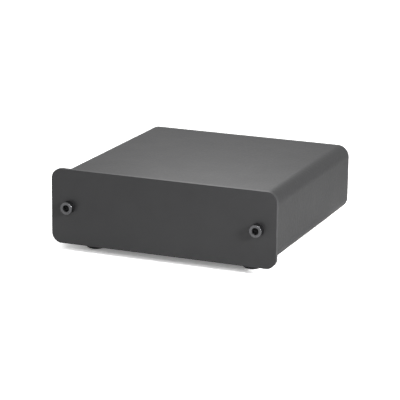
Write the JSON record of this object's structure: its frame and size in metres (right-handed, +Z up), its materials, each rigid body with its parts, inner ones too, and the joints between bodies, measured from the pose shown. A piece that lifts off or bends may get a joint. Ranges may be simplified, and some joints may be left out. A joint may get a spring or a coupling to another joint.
{
  "type": "phono preamp",
  "caption": "Small phono preamp: dark sleeve between a front plate with two cap screws and a rear panel with line sockets, power inlet and earth terminal.",
  "frame": {"origin": "on the surface it stands on, under the middle of the whole object", "axes": "+Z up, the front plate faces -Y, the sockets face +Y, +X to the right seen from the front"},
  "size_m": [0.103, 0.1142, 0.037],
  "materials": {
    "plate": "satin dark grey paint",
    "sleeve": "fine textured dark grey powder coat",
    "panel": "satin dark grey paint",
    "rail": "plain extruded",
    "black_screw": "black oxide",
    "zinc_screw": "zinc plated",
    "board": "solder resist on glass fibre board",
    "black_plastic": "moulded",
    "nickel": "nickel plated",
    "gilt": "gold plated brass",
    "can_sleeve": "printed film sleeve on an aluminium can",
    "film_box": "moulded box",
    "chip_black": "moulded epoxy",
    "resistor_blue": "lacquered",
    "rubber": "matt moulded rubber",
    "white_plastic": "moulded",
    "red_plastic": "moulded"
  },
  "bodies": {
    "chassis": {"front_plate": "plate", "case_sleeve": "sleeve", "rear_panel": "panel", "left_rail": "rail", "right_rail": "rail", "front_screws": "black_screw", "rear_screws": "black_screw", "board_screws": "zinc_screw", "circuit_board": "board", "foot_front_left": "rubber", "foot_front_right": "rubber", "foot_rear_left": "rubber", "foot_rear_right": "rubber", "in_left_barrel": "gilt", "in_left_collar": "white_plastic", "in_left_body": "black_plastic", "in_left_contact": "gilt", "in_right_barrel": "gilt", "in_right_collar": "red_plastic", "in_right_body": "black_plastic", "in_right_contact": "gilt", "out_left_barrel": "gilt", "out_left_collar": "white_plastic", "out_left_body": "black_plastic", "out_left_contact": "gilt", "out_right_barrel": "gilt", "out_right_collar": "red_plastic", "out_right_body": "black_plastic", "out_right_contact": "gilt", "power_inlet": "black_plastic", "power_pin": "nickel", "power_spring": "nickel", "earth_post": "gilt", "earth_tag": "gilt", "earth_nut": "gilt", "gain_switch_left": "black_plastic", "gain_switch_right": "black_plastic", "electrolytic_capacitors": "can_sleeve", "film_capacitors": "film_box", "amplifier_chips": "chip_black", "voltage_regulators": "chip_black", "resistors": "resistor_blue", "diodes": "chip_black"},
    "earth_washer": {"earth_washer": "gilt"},
    "earth_knob": {"earth_knob": "gilt"},
    "gain_lever_left": {"gain_lever_left": "white_plastic"},
    "gain_lever_right": {"gain_lever_right": "white_plastic"}
  },
  "joints": [
    {"name": "earth_washer_slide", "type": "slide", "parent": "chassis", "child": "earth_washer", "axis": [0, 1, 0], "range_m": [0, 0.0028]},
    {"name": "earth_knob_turn", "type": "hinge", "parent": "earth_washer", "child": "earth_knob", "pos_m": [0.00583, 0.0489, 0.0205], "axis": [0, 1, 0], "range_deg": [0, 1440]},
    {"name": "gain_lever_left_slide", "type": "slide", "parent": "chassis", "child": "gain_lever_left", "axis": [1, 0, 0], "range_m": [0, 0.002]},
    {"name": "gain_lever_right_slide", "type": "slide", "parent": "chassis", "child": "gain_lever_right", "axis": [1, 0, 0], "range_m": [0, 0.002]}
  ],
  "couplings": [
    {"joint": "earth_knob_turn", "follows": "earth_washer_slide", "rad_per_m": 8976}
  ]
}
